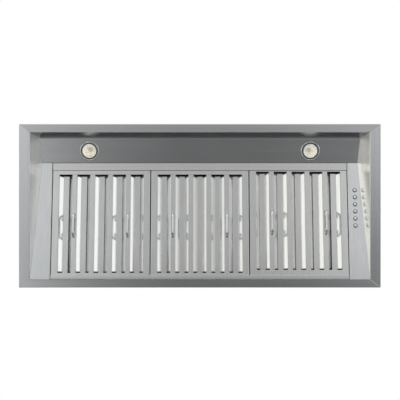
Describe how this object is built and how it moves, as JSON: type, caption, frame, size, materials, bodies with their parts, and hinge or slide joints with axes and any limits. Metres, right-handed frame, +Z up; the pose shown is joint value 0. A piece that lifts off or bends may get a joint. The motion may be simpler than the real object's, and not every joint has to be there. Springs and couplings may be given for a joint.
{
  "type": "range hood insert",
  "caption": "Stainless range hood insert for a cabinet: mitred rim, sloping lamp panel, baffle filters with wire handles, push buttons, blower and duct collar.",
  "frame": {"origin": "middle of the rim's underside, under the middle of the hood", "axes": "+X along the hood towards the push buttons, +Y towards the wall, +Z up along the duct"},
  "size_m": [1.016, 0.46, 0.311],
  "materials": {
    "rim_steel": "brushed along each rail",
    "panel_steel": "brushed along the hood",
    "wall_steel": "polished, nearly a mirror",
    "front_wall_steel": "brushed, in shade",
    "body_steel": "galvanised sheet",
    "collar_steel": "galvanised sheet",
    "filter_steel": "brushed along the baffles",
    "wire_steel": "polished wire",
    "screw_steel": "zinc plated",
    "blower_steel": "galvanised sheet",
    "wheel_alloy": "plain",
    "motor_enamel": "semi-gloss enamel",
    "box_steel": "galvanised sheet",
    "control_plastic": "moulded",
    "driver_plastic": "moulded",
    "cap_metal": "satin, silver coloured",
    "bezel_chrome": "bright",
    "lamp_chrome": "bright",
    "reflector_chrome": "faceted and bright",
    "lamp_glass": "clear",
    "socket_ceramic": "unglazed"
  },
  "bodies": {
    "hood": {"rim_front": "rim_steel", "rim_back": "rim_steel", "rim_left": "rim_steel", "rim_right": "rim_steel", "lamp_panel": "panel_steel", "left_panel": "panel_steel", "control_panel": "panel_steel", "holder_strip": "panel_steel", "rear_lip": "panel_steel", "front_wall": "front_wall_steel", "left_wall": "wall_steel", "right_wall": "wall_steel", "body_front": "body_steel", "body_back": "body_steel", "body_left": "body_steel", "body_right": "body_steel", "top_plate": "body_steel", "housing_screws": "screw_steel", "duct_collar": "collar_steel", "damper_rod": "screw_steel", "scroll_wrapper": "blower_steel", "scroll_side_left": "blower_steel", "scroll_side_right": "blower_steel", "blower_outlet": "blower_steel", "motor_bracket": "blower_steel", "blower_motor": "motor_enamel", "junction_box": "box_steel", "junction_cover": "box_steel", "lamp_driver": "driver_plastic", "control_box": "control_plastic", "button_bezels": "bezel_chrome", "lamp_trim_rings": "lamp_chrome", "lamp_lenses": "lamp_glass", "lamp_reflectors": "reflector_chrome", "lamp_sockets": "socket_ceramic"},
    "push_button_1": {"button_1": "cap_metal"},
    "push_button_2": {"button_2": "cap_metal"},
    "push_button_3": {"button_3": "cap_metal"},
    "push_button_4": {"button_4": "cap_metal"},
    "push_button_5": {"button_5": "cap_metal"},
    "push_button_6": {"button_6": "cap_metal"},
    "filter_1_cartridge": {"filter_1_frame": "filter_steel", "filter_1_bars": "filter_steel", "filter_1_baffles": "filter_steel"},
    "filter_1_bail_left": {"filter_1_handle_left": "wire_steel"},
    "filter_1_bail_right": {"filter_1_handle_right": "wire_steel"},
    "filter_2_cartridge": {"filter_2_frame": "filter_steel", "filter_2_bars": "filter_steel", "filter_2_baffles": "filter_steel"},
    "filter_2_bail_left": {"filter_2_handle_left": "wire_steel"},
    "filter_2_bail_right": {"filter_2_handle_right": "wire_steel"},
    "filter_3_cartridge": {"filter_3_frame": "filter_steel", "filter_3_bars": "filter_steel", "filter_3_baffles": "filter_steel"},
    "filter_3_bail_left": {"filter_3_handle_left": "wire_steel"},
    "filter_3_bail_right": {"filter_3_handle_right": "wire_steel"},
    "wheel": {"blower_wheel": "wheel_alloy"},
    "flap_back": {"damper_flap_back": "collar_steel"},
    "flap_front": {"damper_flap_front": "collar_steel"}
  },
  "joints": [
    {"name": "press_1", "type": "slide", "parent": "hood", "child": "push_button_1", "axis": [0, 0.1487, 0.9889], "range_m": [0, 0.002], "stiffness_N_per_m": 500, "springref_m": -0.001},
    {"name": "press_2", "type": "slide", "parent": "hood", "child": "push_button_2", "axis": [0, 0.1487, 0.9889], "range_m": [0, 0.002], "stiffness_N_per_m": 500, "springref_m": -0.001},
    {"name": "press_3", "type": "slide", "parent": "hood", "child": "push_button_3", "axis": [0, 0.1487, 0.9889], "range_m": [0, 0.002], "stiffness_N_per_m": 500, "springref_m": -0.001},
    {"name": "press_4", "type": "slide", "parent": "hood", "child": "push_button_4", "axis": [0, 0.1487, 0.9889], "range_m": [0, 0.002], "stiffness_N_per_m": 500, "springref_m": -0.001},
    {"name": "press_5", "type": "slide", "parent": "hood", "child": "push_button_5", "axis": [0, 0.1487, 0.9889], "range_m": [0, 0.002], "stiffness_N_per_m": 500, "springref_m": -0.001},
    {"name": "press_6", "type": "slide", "parent": "hood", "child": "push_button_6", "axis": [0, 0.1487, 0.9889], "range_m": [0, 0.002], "stiffness_N_per_m": 500, "springref_m": -0.001},
    {"name": "filter_1_slide", "type": "slide", "parent": "hood", "child": "filter_1_cartridge", "axis": [0, -0.9889, 0.1487], "range_m": [0, 0.013]},
    {"name": "filter_1_bail_left", "type": "hinge", "parent": "filter_1_cartridge", "child": "filter_1_bail_left", "pos_m": [-0.3574, 0.05386, 0.02471], "axis": [0, 0.9889, -0.1487], "range_deg": [-80, 80]},
    {"name": "filter_1_bail_right", "type": "hinge", "parent": "filter_1_cartridge", "child": "filter_1_bail_right", "pos_m": [-0.2044, 0.05386, 0.02471], "axis": [0, 0.9889, -0.1487], "range_deg": [-80, 80]},
    {"name": "filter_2_slide", "type": "slide", "parent": "hood", "child": "filter_2_cartridge", "axis": [0, -0.9889, 0.1487], "range_m": [0, 0.013]},
    {"name": "filter_2_bail_left", "type": "hinge", "parent": "filter_2_cartridge", "child": "filter_2_bail_left", "pos_m": [-0.0765, 0.05386, 0.02471], "axis": [0, 0.9889, -0.1487], "range_deg": [-80, 80]},
    {"name": "filter_2_bail_right", "type": "hinge", "parent": "filter_2_cartridge", "child": "filter_2_bail_right", "pos_m": [0.0765, 0.05386, 0.02471], "axis": [0, 0.9889, -0.1487], "range_deg": [-80, 80]},
    {"name": "filter_3_slide", "type": "slide", "parent": "hood", "child": "filter_3_cartridge", "axis": [0, -0.9889, 0.1487], "range_m": [-0.0084, 0.0046]},
    {"name": "filter_3_bail_left", "type": "hinge", "parent": "filter_3_cartridge", "child": "filter_3_bail_left", "pos_m": [0.2044, 0.04555, 0.02596], "axis": [0, 0.9889, -0.1487], "range_deg": [-80, 80]},
    {"name": "filter_3_bail_right", "type": "hinge", "parent": "filter_3_cartridge", "child": "filter_3_bail_right", "pos_m": [0.3574, 0.04555, 0.02596], "axis": [0, 0.9889, -0.1487], "range_deg": [-80, 80]},
    {"name": "wheel_spin", "type": "hinge", "parent": "hood", "child": "wheel", "pos_m": [0, -0.062, 0.16894], "axis": [1, 0, 0], "continuous": true},
    {"name": "flap_back_swing", "type": "hinge", "parent": "hood", "child": "flap_back", "pos_m": [0, 0, 0.275], "axis": [1, 0, 0], "range_deg": [0, 78]},
    {"name": "flap_front_swing", "type": "hinge", "parent": "hood", "child": "flap_front", "pos_m": [0, 0, 0.275], "axis": [-1, 0, 0], "range_deg": [0, 78]}
  ]
}
